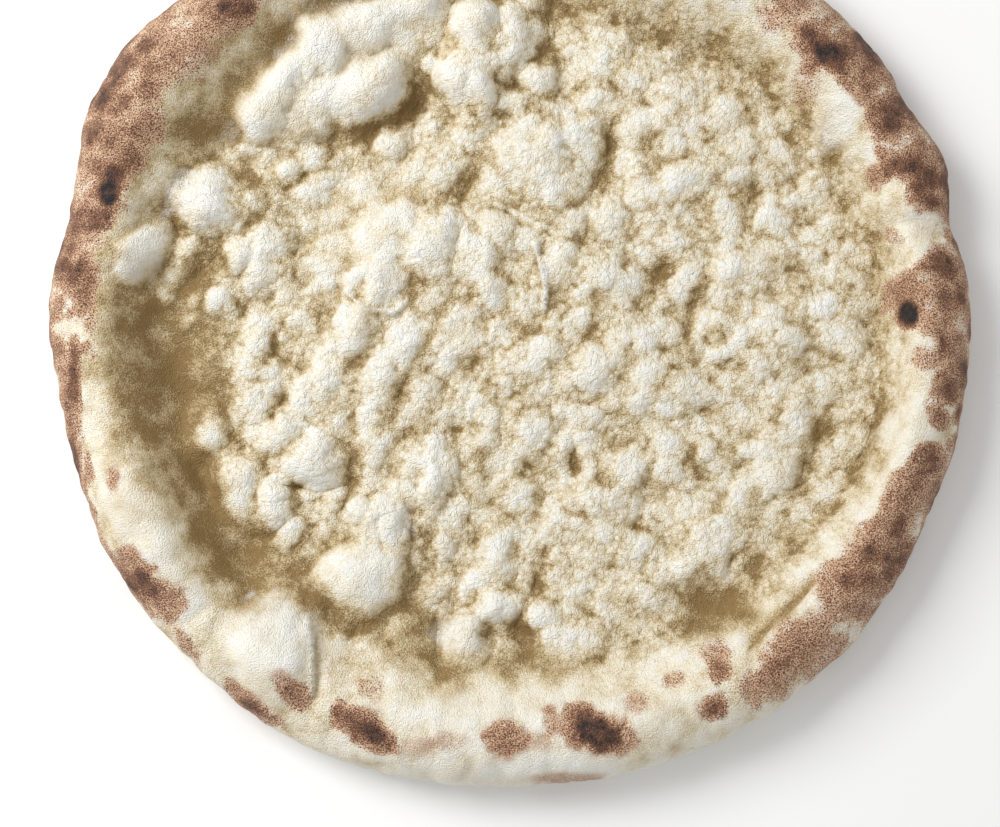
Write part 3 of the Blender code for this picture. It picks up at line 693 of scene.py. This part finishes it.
def disc_layout(places):
    """Share of the radius and direction, in radians, of grid points that run from -1 to 1.

    Each square ring of the grid becomes a round one, so that all cells keep about one area.
    """
    a, b = places[:, 0], places[:, 1]
    sideways = np.abs(a) > np.abs(b)
    reach = np.where(sideways, a, b)
    other = np.where(sideways, b, a)
    ratio = np.divide(other, reach, out=np.zeros_like(reach), where=reach != 0)
    angle = np.where(sideways, ratio, 2 - ratio) * math.pi / 4
    return np.abs(reach), np.where(reach < 0, angle + math.pi, angle)


# How the grid is shared out from the middle (0) to the edge of the underside (1).
FOOT_SHARE = 0.76
CROWN_SHARE = 0.87
SIDE_SHARE = 0.955
# How far the crust's widest line, its crown and its height stray from a true ring.
SIDE_WOBBLE, CROWN_WOBBLE, TOP_WOBBLE = 0.0011, 0.0010, 0.0008


def bell(direction, centre, spread):
    """1 at a centre direction, falling to 0 on both sides; direction in radians, the rest in degrees."""
    apart = direction - math.radians(centre)
    apart = np.degrees(np.arctan2(np.sin(apart), np.cos(apart)))
    return np.exp(-((apart / spread) ** 2))


def swelling(direction, amount):
    """The sum over the swells of one of their amounts, in each direction given in radians."""
    return sum(getattr(s, amount) * bell(direction, s.direction, s.spread) for s in SWELLS)


def skin_of_the_turned_dough(sizes, share, direction):
    """Points on the dough before it blistered, from its middle over the crust to the table."""
    rim = np.column_stack((np.cos(direction), np.sin(direction), np.zeros_like(direction)))
    on_side = rim * sizes.side_radius
    wobble = noise(on_side, 0.022, seed=1) + 0.5 * noise(on_side, 0.009, seed=2)
    out = swelling(direction, "out")
    side = sizes.side_radius + out + SIDE_WOBBLE * wobble
    crown = sizes.crown_radius + 0.5 * out - CROWN_WOBBLE * wobble
    foot = sizes.foot_radius + swelling(direction, "foot")
    top = sizes.crown_height + swelling(direction, "up") + TOP_WOBBLE * noise(on_side, 0.030, seed=3)
    underside = sizes.underside_radius + 0.5 * out
    bed, belt = sizes.bed_thickness, sizes.side_height

    on_bed = share / FOOT_SHARE
    on_slope = (share - FOOT_SHARE) / (CROWN_SHARE - FOOT_SHARE)
    on_crown = (share - CROWN_SHARE) / (SIDE_SHARE - CROWN_SHARE) * math.pi / 2
    below = (share - SIDE_SHARE) / (1 - SIDE_SHARE) * math.pi / 2
    zones = (share <= FOOT_SHARE, share <= CROWN_SHARE, share <= SIDE_SHARE)
    radius = np.select(
        zones,
        (foot * on_bed, foot + (crown - foot) * on_slope, crown + (side - crown) * np.sin(on_crown)),
        side - (side - underside) * (1 - np.cos(below)),
    )
    slope, crest = bed + (top - bed) * ease(on_slope), belt + (top - belt) * np.cos(on_crown)
    height = np.select(zones, (np.full_like(share, bed), slope, crest), belt * (1 - np.sin(below)))
    return np.column_stack((radius * rim[:, 0], radius * rim[:, 1], height))


def oval_share(points, oval):
    """Distance from an oval's middle as a share of the way to its edge."""
    turn = math.radians(oval.turn)
    x, y = points[:, 0] - oval.x, points[:, 1] - oval.y
    along = (x * math.cos(turn) + y * math.sin(turn)) / oval.long
    across = (y * math.cos(turn) - x * math.sin(turn)) / oval.wide
    return np.hypot(along, across)


def crease_distance(points, crease):
    """Distance from each point to the crease's line, seen from above."""
    start = np.array((crease.x1, crease.y1))
    run = np.array((crease.x2, crease.y2)) - start
    along = np.clip((points[:, :2] - start) @ run / (run @ run), 0, 1)
    return np.linalg.norm(points[:, :2] - start - along[:, None] * run, axis=1)


# How far each kind of form strays from its true outline: by how much, over what pitch, and a seed.
BLISTER_WANDER = ((0.0021, 0.0110, 4), (0.0012, 0.0050, 8))
FORM_WANDER = ((0.0016, 0.0080, 15),)
SEAM_WANDER = ((0.0008, 0.0080, 15),)
FOLD_WANDER = ((0.0018, 0.0070, 17),)


def wandering(points, *layers):
    """The points shifted sideways, so that what is drawn on them comes out less regular."""
    moved = points.copy()
    for reach, pitch, seed in layers:
        moved[:, :2] += reach * np.column_stack([noise(points, pitch, seed + i) for i in (0, 1)])
    return moved


MELT = 4  # how blisters that overlap join: 1 would add them up, and more keeps nearer to the taller one
JOINT_SHARE, JOINT_WIDTH = 1.08, 0.0013  # where the moist line round a blister's foot runs, and how wide
RING_WIDTH, RING_HEIGHT = 0.22, 0.8  # of the rim round a crater, as shares of its size and its depth


def blister_heights(points):
    """How far the blisters raise the skin at each point; neighbours melt into each other."""
    warped = wandering(points, *BLISTER_WANDER)
    total = np.zeros(len(points))
    for blister in BLISTERS:
        share = oval_share(warped, blister)
        taut = np.clip(1 - share**2.2, 0, 1) ** 0.80
        soft = np.clip(1 - (share / 1.25) ** 2, 0, 1) ** 2
        total += (blister.rise * (blister.firm * taut + (1 - blister.firm) * soft)) ** MELT
    return total ** (1 / MELT)


def blister_marks(points):
    """Nearness of each point to a blister's crown and to the joint round its foot, from 0 to 1."""
    warped = wandering(points, *BLISTER_WANDER)
    crowns, joints = np.zeros(len(points)), np.zeros(len(points))
    for blister in BLISTERS:
        share = oval_share(warped, blister)
        past_foot = (share - JOINT_SHARE) * math.sqrt(blister.long * blister.wide)
        crowns = np.maximum(crowns, 1 - share**2)
        joints = np.maximum(joints, np.exp(-((past_foot / JOINT_WIDTH) ** 2)))
    return crowns, joints * (1 - crowns)


def grooves(points, creases):
    """The sum of the creases' depths at each point, fading to 0 on both sides of each line."""
    return sum(c.depth * np.exp(-((crease_distance(points, c) / c.width) ** 2)) for c in creases)


def soft_heights(points):
    """How far the soft forms and the craters raise the skin at each point, less the creases."""
    warped = wandering(points, *FORM_WANDER)
    raised = np.zeros(len(points))
    for form in SOFT_FORMS:
        raised += form.rise * ease(1.25 - oval_share(warped, form))
    for crater in CRATERS:
        share = oval_share(warped, crater)
        ring = np.exp(-(((share - 1) / RING_WIDTH) ** 2))
        raised += crater.rise * (RING_HEIGHT * ring - ease(1.3 - share))
    return raised - grooves(warped, CREASES)


def seam_heights(points):
    """How far the thin seams stand out of the skin at each point."""
    return grooves(wandering(points, *SEAM_WANDER), SEAMS)


def patch_amounts(points, patches, edge, wander=0.0):
    """The sum of the patches' amounts, fading to 0 over a share of their size, with ragged edges."""
    ragged = wander * (noise(points, 0.0040, seed=41) + 0.6 * noise(points, 0.0018, seed=42))
    total = np.zeros(len(points))
    for patch in patches:
        total += patch.amount * ease((1 + edge - oval_share(points, patch) + ragged) / (2 * edge))
    return total


def vertex_vectors(collection, name):
    found = np.empty(len(collection) * 3, np.float32)
    collection.foreach_get(name, found)
    return found.reshape(-1, 3).astype(float)


def positions(mesh):
    return vertex_vectors(mesh.vertices, "co")


def normals(mesh):
    return vertex_vectors(mesh.vertex_normals, "vector")


def move_to(mesh, points):
    mesh.vertices.foreach_set("co", points.astype(np.float32).ravel())
    mesh.update()


def swell(mesh, amounts):
    move_to(mesh, positions(mesh) + normals(mesh) * amounts[:, None])


def soften(mesh, rounds):
    """Eases the skin, all but its edge on the table, so that steep blisters get rounded sides."""
    shape = bmesh.new()
    shape.from_mesh(mesh)
    free = [v for v in shape.verts if not v.is_boundary]
    for _ in range(rounds):
        bmesh.ops.smooth_vert(
            shape, verts=free, factor=0.5, use_axis_x=True, use_axis_y=True, use_axis_z=True
        )
    shape.to_mesh(mesh)
    shape.free()


def sunkenness(mesh, rounds):
    """How far each point lies below its smoothed surroundings, in metres; negative on a bump."""
    smoothed = mesh.copy()
    soften(smoothed, rounds)
    depth = np.sum((positions(smoothed) - positions(mesh)) * normals(mesh), axis=1)
    bpy.data.meshes.remove(smoothed)
    return depth


def grid_mesh(name, cells):
    """A square grid from -1 to 1, which the dough's skin is bent from."""
    shape = bmesh.new()
    bmesh.ops.create_grid(shape, x_segments=cells, y_segments=cells, size=1)
    mesh = bpy.data.meshes.new(name)
    shape.to_mesh(mesh)
    shape.free()
    return mesh


def add_underside(mesh):
    """Closes the skin with one flat face on the table."""
    shape = bmesh.new()
    shape.from_mesh(mesh)
    bmesh.ops.contextual_create(shape, geom=[e for e in shape.edges if e.is_boundary])
    bmesh.ops.recalc_face_normals(shape, faces=shape.faces)
    shape.to_mesh(mesh)
    shape.free()


def leftness(points):
    """1 over the left half, where the bubbles are stretched, fading to 0 over the right."""
    border = -0.006 - 0.25 * points[:, 1]
    fade = 0.05
    return ease(0.5 - (points[:, 0] - border) / fade)


BLISTER_ROUNDS, BUBBLE_ROUNDS = 6, 2  # of easing after the blisters, and after the small bubbles
BED_SWAY = 0.0012  # how far the bed as a whole rises and falls
CRUST_ROUGHNESS = 0.30  # of the crust's fine lumps, where the bed's are 1


def shape_skin(sizes, mesh):
    """Bends the grid into the blistered dough and returns each point's share and direction."""
    share, direction = disc_layout(positions(mesh))
    skin = skin_of_the_turned_dough(sizes, share, direction)
    above = ease((SIDE_SHARE - share) / (SIDE_SHARE - CROWN_SHARE))
    on_bed = ease((CROWN_SHARE - share) / (CROWN_SHARE - FOOT_SHARE))
    off_table = ease((1 - share) / (1 - SIDE_SHARE))
    tall = blister_heights(skin)
    left = leftness(skin)
    calm = np.clip(patch_amounts(skin, SMOOTH_PATCHES, edge=0.5), 0, 1)
    wavy = waves(skin, STRETCHED_WAVES) * left + waves(skin, ROUND_WAVES) * (1 - left)
    wavy += folds(skin, FOLDS) * (0.4 + 0.6 * left)
    # The bed's waves and small bubbles fade on its smooth stretches and, less so, on tall blisters.
    skin[:, 2] += (tall + soft_heights(skin)) * above
    skin[:, 2] += BED_SWAY * noise(skin, 0.032, seed=6) * on_bed
    skin[:, 2] += wavy * on_bed * (1 - 0.85 * calm) * (1 - 0.6 * ease(tall / 0.010))
    move_to(mesh, skin)
    soften(mesh, BLISTER_ROUNDS)

    skin = positions(mesh)
    calm = 1 - (1 - calm) * (1 - 0.25 * ease(tall / 0.008))
    swollen = sizes.inflation * on_bed
    swollen += crowded_lumps(skin, STRETCHED_LUMPS) * on_bed * (1 - calm) * left
    swollen += crowded_lumps(skin, ROUND_LUMPS) * on_bed * (1 - calm) * (1 - left)
    swollen += crowded_lumps(skin, CRUST_LUMPS) * (1 - on_bed) * off_table
    swell(mesh, swollen)
    soften(mesh, BUBBLE_ROUNDS)
    fine = crowded_lumps(skin, FINE_LUMPS)
    rough = on_bed * (1 - 0.65 * calm) + CRUST_ROUGHNESS * (1 - on_bed) * off_table
    swell(mesh, fine * rough + seam_heights(skin))
    add_attribute(mesh, "pebbles", rough)
    return share, direction


BASE_TOAST = 0.16  # of a toasted stretch between its spots
BAND_FADE = 0.24  # share of the slope over which the toasting comes in
FULL_STRETCH = 0.6  # the amount of a stretch that is toasted all over
SPOT_STRENGTH = 0.85
CRUST_BELOW, SPOTS_BELOW = 0.4, 0.2  # how much toasting is left at the foot of the crust's outer wall


def toasting(points, share, direction):
    """How brown each point of the dough is, from 0 for cream to 1 for char."""
    on_slope = (share - FOOT_SHARE) / (CROWN_SHARE - FOOT_SHARE)
    below = ease((share - SIDE_SHARE) / (1 - SIDE_SHARE) + 0.1)
    weights = [t.amount * bell(direction, t.direction, t.spread) for t in TOASTED_STRETCHES]
    stretches = sum(weights)
    start = sum(t.start * weight for t, weight in zip(TOASTED_STRETCHES, weights)) / (stretches + 1e-6)
    ragged = 0.16 * noise(points, 0.010, seed=43) + 0.10 * noise(points, 0.004, seed=44)
    band = ease((on_slope - start + ragged) / BAND_FADE)
    base = BASE_TOAST + 0.10 * noise(points, 0.008, seed=45)
    # Only the tops of the lumps count as spots.
    leopard = sum(t.rise * ease(1.7 * lump_heights(points, t) - 0.45) for t in LEOPARD_SPOTS)
    crust = np.clip(stretches / FULL_STRETCH, 0, 1) * band * (base + leopard)
    crust *= 1 - (1 - CRUST_BELOW) * below
    spots = patch_amounts(points, SPOTS, edge=0.62, wander=0.34) * (1 - (1 - SPOTS_BELOW) * below)
    charred = patch_amounts(points, CHARRED, edge=0.45, wander=0.06)
    return np.maximum(1 - (1 - crust) * (1 - SPOT_STRENGTH * np.clip(spots, -1, 1)), charred)


def add_attribute(mesh, name, values):
    attribute = mesh.attributes.new(name, "FLOAT", "POINT")
    attribute.data.foreach_set("value", np.clip(values, 0, 1).astype(np.float32))


def smoothed(heights, rounds):
    """The heights of the grid's points, each of which is averaged with its neighbours in each round."""
    side = math.isqrt(len(heights))
    field = heights.reshape(side, side)
    for _ in range(rounds):
        wide = np.pad(field, 1, mode="edge")
        field = (4 * field + wide[2:, 1:-1] + wide[:-2, 1:-1] + wide[1:-1, 2:] + wide[1:-1, :-2]) / 8
    return field.ravel()


# Hollows of three widths darken the dough and bumps pale it: painted shade in the hollows, with some of
# the tan of moist dough there, and a painted highlight on the bumps. The fields are the rounds of smoothing
# that they are measured against, the depth that gives a hollow its whole weight, and the least and the most
# that it may add.
Hollow = namedtuple("Hollow", "rounds depth weight least most")
FINE_HOLLOWS = Hollow(6, 0.0007, 0.40, -0.25, 0.30)
BROAD_HOLLOWS = Hollow(60, 0.0020, 0.24, -0.16, 0.22)
WIDE_HOLLOWS = Hollow(400, 0.0040, 0.22, -0.16, 0.18)
CRUST_CREVICE, BED_CREVICE = 0.54, 0.42  # the share that level dough has
LEAST_CREVICE = 0.15
# How strongly the moist colour and the painted shade darken the dough.
SHADE_AND_MOIST_STRENGTH = 0.55
JOINT_TONE, BLISTER_TONE = 0.13, -0.05  # added in the joints, and on the blisters' crowns


def darkening(depths, hollow):
    """How much painted shade the hollows of one width add to the crevice share of each point."""
    return np.clip(hollow.weight * depths / hollow.depth, hollow.least, hollow.most)


def colour_shares(mesh, share, direction):
    """Stores on each point the shares that the dough's material turns into colour."""
    skin = positions(mesh)
    on_bed = ease((CROWN_SHARE - share) / (CROWN_SHARE - FOOT_SHARE))
    crowns, joints = blister_marks(skin)
    sunk = CRUST_CREVICE + (BED_CREVICE - CRUST_CREVICE) * on_bed
    # Painted shade in the hollows, and a painted highlight on the bumps.
    sunk += darkening(sunkenness(mesh, FINE_HOLLOWS.rounds), FINE_HOLLOWS)
    for hollow in (BROAD_HOLLOWS, WIDE_HOLLOWS):
        sunk += on_bed * darkening(smoothed(skin[:, 2], hollow.rounds) - skin[:, 2], hollow)
    sunk += on_bed * (JOINT_TONE * joints + BLISTER_TONE * crowns)
    # Golden moist colour together with painted shade in the hollows and creases.
    sunk += SHADE_AND_MOIST_STRENGTH * patch_amounts(skin, MOIST_AND_SHADED_HOLLOWS, edge=0.7, wander=0.35)
    # Painted shade on the inner slope that faces away from the lamp.
    sunk += SHADE_AND_MOIST_STRENGTH * patch_amounts(skin, SHADED_STRETCHES, edge=0.9, wander=0.08)
    add_attribute(mesh, "crevice", np.maximum(sunk, LEAST_CREVICE))
    browned = toasting(skin, share, direction)
    add_attribute(mesh, "toasting", browned)
    # Flour, and painted highlight on the bubbles' lit sides.
    flour_and_highlight_amounts = patch_amounts(skin, FLOUR_AND_HIGHLIGHT_PATCHES, edge=0.6, wander=0.3)
    add_attribute(mesh, "flour_and_highlight", flour_and_highlight_amounts * (1 - ease(2 * browned)))


def centre_over(mesh, box):
    """Moves the mesh so that its box shares its middle with the given box, and stays on the table."""
    points = positions(mesh)
    middle = (points[:, :2].min(axis=0) + points[:, :2].max(axis=0)) / 2
    points[:, :2] += [(box[0][i] + box[1][i]) / 2 - middle[i] for i in (0, 1)]
    move_to(mesh, points)


def add_node(tree, kind, inputs=(), stops=(), output=0, **settings):
    """Adds a shader node and returns one of its outputs.

    inputs gives each socket, in order or by name, a value or the output that feeds it. stops are the
    places and colours of a ramp, whose own two stops take the first two.
    """
    node = tree.nodes.new("ShaderNode" + kind)
    for name, value in settings.items():
        setattr(node, name, value)
    for socket, value in inputs.items() if isinstance(inputs, dict) else enumerate(inputs):
        if isinstance(value, bpy.types.NodeSocket):
            tree.links.new(value, node.inputs[socket])
        else:
            node.inputs[socket].default_value = value
    for i, (place, colour) in enumerate(stops):
        stop = node.color_ramp.elements[i] if i < 2 else node.color_ramp.elements.new(place)
        stop.position, stop.color = place, colour
    return node.outputs[output]


def new_material(name):
    material = bpy.data.materials.new(name)
    material.use_nodes = True
    tree = material.node_tree
    return material, tree, tree.nodes["Principled BSDF"]


FACTOR, COLOUR_A, COLOUR_B, COLOUR_OUT = 0, 6, 7, 2  # a colour Mix node's sockets


def par_baked_dough(colours):
    """Wheat dough, stretched by hand and baked fast: matte and porous, dusted with flour.

    The bubbles' tops dry out pale, with a faint sheen, while the joints between them stay moist and tan.
    Painted highlight whitens the bubbles' lit sides, and painted shade darkens the hollows and the inner
    slope.
    The crust toasts from biscuit to brown with a sandy grain, and its highest spots char.
    """
    material, tree, shader = new_material("par_baked_dough")
    add = functools.partial(add_node, tree)
    place = add("TexCoord", output="Object")
    crevice, toast, flour_and_highlight, pebbles = (
        add("Attribute", output="Fac", attribute_name=name)
        for name in ("crevice", "toasting", "flour_and_highlight", "pebbles")
    )

    def varied(value, *mottles):
        """value plus mottles, each of which is a texture, the value it varies around and an amount."""
        for texture, middle, amount in mottles:
            shift = add("Math", (texture, middle), operation="SUBTRACT")
            value = add("Math", (shift, amount, value), operation="MULTIPLY_ADD")
        return value

    # Steam dries the skin in patches of about 8 mm and mottles it every 2.6 mm. The crumb's pores are a
    # tenth of a millimetre wide, too fine to show, so the sand that stands for them is four times as coarse.
    patches, mottles, sand = (
        add("TexNoise", {"Vector": place, "Scale": 1 / (size * MM), "Detail": detail})
        for size, detail in ((8.0, 0.0), (2.6, 1.5), (0.42, 0.5))
    )
    # The smallest bubbles are 1.7 mm apart, and bent out of round.
    bend = add("TexNoise", {"Vector": place, "Scale": 1 / (2.2 * MM), "Detail": 0.0}, output="Color")
    bent = add("VectorMath", (bend, (1.3 * MM,) * 3, place), operation="MULTIPLY_ADD")
    reach = add("TexVoronoi", {"Vector": bent, "Scale": 1 / (1.7 * MM)}, output="Distance")
    squared = add("Math", (reach, reach), operation="MULTIPLY")
    bubbles = add("Math", (squared, pebbles), operation="MULTIPLY")

    # The crevice share, painted shade included, runs the bed's colour from white to gold.
    tone = varied(
        crevice, (patches, 0.5, 0.70), (mottles, 0.5, 0.35), (sand, 0.5, 0.75), (bubbles, 0.20, 0.32)
    )
    bed = add(
        "ValToRGB",
        (tone,),
        stops=((0.02, colours.flour_and_highlight), (1.0, colours.gold), (0.38, colours.cream), (0.70, colours.tan)),
    )
    # The paler a stretch of crust, the more its grain shows.
    paleness = add("Math", (1.05, toast), operation="SUBTRACT")
    grain = add("Math", (paleness, 2.9), operation="MULTIPLY")
    mottled = add("Math", (toast, varied(1.0, (mottles, 0.5, 0.6))), operation="MULTIPLY")
    crust = add(
        "ValToRGB",
        (varied(mottled, (sand, 0.5, grain)),),
        stops=((0.14, colours.biscuit), (1.0, colours.char), (0.50, colours.brown), (0.78, colours.umber)),
    )
    ragged = varied(1.0, (sand, 0.5, 1.7), (mottles, 0.5, 1.2))
    edge = add("Math", (toast, ragged), operation="MULTIPLY")
    toasted = add("MapRange", (edge, 0.02, 0.25), interpolation_type="SMOOTHSTEP")
    baked = add(
        "Mix", {FACTOR: toasted, COLOUR_A: bed, COLOUR_B: crust}, output=COLOUR_OUT, data_type="RGBA"
    )
    # The dusting also lays the painted highlight on the bubbles' lit sides.
    clumps = varied(1.0, (mottles, 0.5, 1.6), (sand, 0.5, 3.0))
    dust_and_highlight = add("Math", (flour_and_highlight, clumps), operation="MULTIPLY")
    dust_and_highlight_share = add("MapRange", (dust_and_highlight, 0.25, 1.1, 0.0, 0.9))
    dusted_and_highlighted = add(
        "Mix",
        {FACTOR: dust_and_highlight_share, COLOUR_A: baked, COLOUR_B: colours.flour_and_highlight},
        output=COLOUR_OUT,
        data_type="RGBA",
    )
    tree.links.new(dusted_and_highlighted, shader.inputs["Base Color"])

    height = varied(0.0, (bubbles, 0.0, -0.52), (sand, 0.0, 0.56))
    tree.links.new(add("Bump", {"Height": height, "Distance": MM}), shader.inputs["Normal"])
    # The thin skins of the small bubbles shine a little; the crust is dull.
    roughness = add("Math", (pebbles, -0.30, 0.78), operation="MULTIPLY_ADD")
    tree.links.new(roughness, shader.inputs["Roughness"])
    shader.inputs["Specular IOR Level"].default_value = 0.45
    return material


def painted_floor(colour):
    """Smooth matte paint: even and almost without gloss."""
    material, _, shader = new_material("matte_painted_floor")
    shader.inputs["Base Color"].default_value = colour
    shader.inputs["Roughness"].default_value = 0.9
    return material


class PIZZABASE_OT_dough(bpy.types.Operator):
    """Shapes, blisters and colours the dough"""

    bl_idname = "pizza_base.dough"
    bl_label = "Dough"

    def execute(self, context):
        sizes = context.scene.dough_sizes
        mesh = grid_mesh("baked_dough", sizes.grid_cells)
        share, direction = shape_skin(sizes, mesh)
        colour_shares(mesh, share, direction)
        add_underside(mesh)
        centre_over(mesh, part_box(NODE))
        mesh.shade_smooth()
        mesh.materials.append(par_baked_dough(context.scene.dough_colours))
        dough = bpy.data.objects.new("baked_dough", mesh)
        context.scene.collection.objects.link(dough)
        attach(dough, "root")
        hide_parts(NODE)
        return {"FINISHED"}


FLOOR_REACH = 3.0
LAMP_TOWARDS = (-0.64, 0.35, 0.68)  # from the far left, as from a window
LAMP_DISTANCE, LAMP_SIZE = 1.1, 0.60
CAMERA_AIM = (-3.0 * MM, -29.7 * MM, 10.0 * MM)
SENSOR_WIDTH = 36.0


class PIZZABASE_OT_stage(bpy.types.Operator):
    """Adds the floor, the light and the camera"""

    bl_idname = "pizza_base.stage"
    bl_label = "Stage"

    def execute(self, context):
        stage = context.scene.stage_settings
        shape = bmesh.new()
        bmesh.ops.create_grid(shape, x_segments=1, y_segments=1, size=FLOOR_REACH)
        mesh = bpy.data.meshes.new("floor")
        shape.to_mesh(mesh)
        shape.free()
        mesh.materials.append(painted_floor(stage.floor))
        floor = bpy.data.objects.new("floor", mesh)
        context.scene.collection.objects.link(floor)

        world = bpy.data.worlds.new("studio")
        world.use_nodes = True
        background = world.node_tree.nodes["Background"]
        background.inputs["Color"].default_value = (1.0, 1.0, 1.0, 1.0)
        background.inputs["Strength"].default_value = stage.sky_strength
        context.scene.world = world
        context.scene.view_settings.view_transform = "Standard"

        self.add_lamp(context, stage)
        self.add_camera(context, stage)
        return {"FINISHED"}

    def add_lamp(self, context, stage):
        lamp = bpy.data.lights.new("window", "AREA")
        lamp.size = LAMP_SIZE
        lamp.energy = stage.key_power
        holder = bpy.data.objects.new("window", lamp)
        towards = Vector(LAMP_TOWARDS).normalized()
        holder.location = towards * LAMP_DISTANCE
        holder.rotation_euler = towards.to_track_quat("Z", "Y").to_euler()
        context.scene.collection.objects.link(holder)

    def add_camera(self, context, stage):
        camera = bpy.data.cameras.new("camera")
        camera.lens = stage.focal_length
        camera.sensor_width = SENSOR_WIDTH
        holder = bpy.data.objects.new("camera", camera)
        towards = Vector((0, -math.cos(stage.camera_elevation), math.sin(stage.camera_elevation)))
        distance = stage.view_width * camera.lens / SENSOR_WIDTH
        holder.location = Vector(CAMERA_AIM) + towards * distance
        holder.rotation_euler = towards.to_track_quat("Z", "Y").to_euler()
        context.scene.collection.objects.link(holder)
        context.scene.camera = holder


class PIZZABASE_PT_panel(bpy.types.Panel):
    """Lists the steps that dress the pizza base"""

    bl_idname = "PIZZABASE_PT_panel"
    bl_label = "Pizza base"
    bl_space_type = "VIEW_3D"
    bl_region_type = "UI"
    bl_category = "Pizza base"

    def draw(self, context):
        scene = context.scene
        for settings in (scene.dough_sizes, scene.dough_colours, scene.stage_settings):
            box = self.layout.box()
            for name in settings.__annotations__:
                box.prop(settings, name)
        for step in STEPS:
            self.layout.operator(step.bl_idname)


STEPS = (PIZZABASE_OT_dough, PIZZABASE_OT_stage)
CLASSES = (DoughSizes, DoughColours, StageSettings, *STEPS, PIZZABASE_PT_panel)


def register():
    for cls in CLASSES:
        bpy.utils.register_class(cls)
    bpy.types.Scene.dough_sizes = PointerProperty(type=DoughSizes)
    bpy.types.Scene.dough_colours = PointerProperty(type=DoughColours)
    bpy.types.Scene.stage_settings = PointerProperty(type=StageSettings)


def unregister():
    del bpy.types.Scene.stage_settings
    del bpy.types.Scene.dough_colours
    del bpy.types.Scene.dough_sizes
    for cls in reversed(CLASSES):
        bpy.utils.unregister_class(cls)


def main():
    register()
    bpy.ops.pizza_base.dough()
    bpy.ops.pizza_base.stage()


if __name__ == "__main__":
    main()
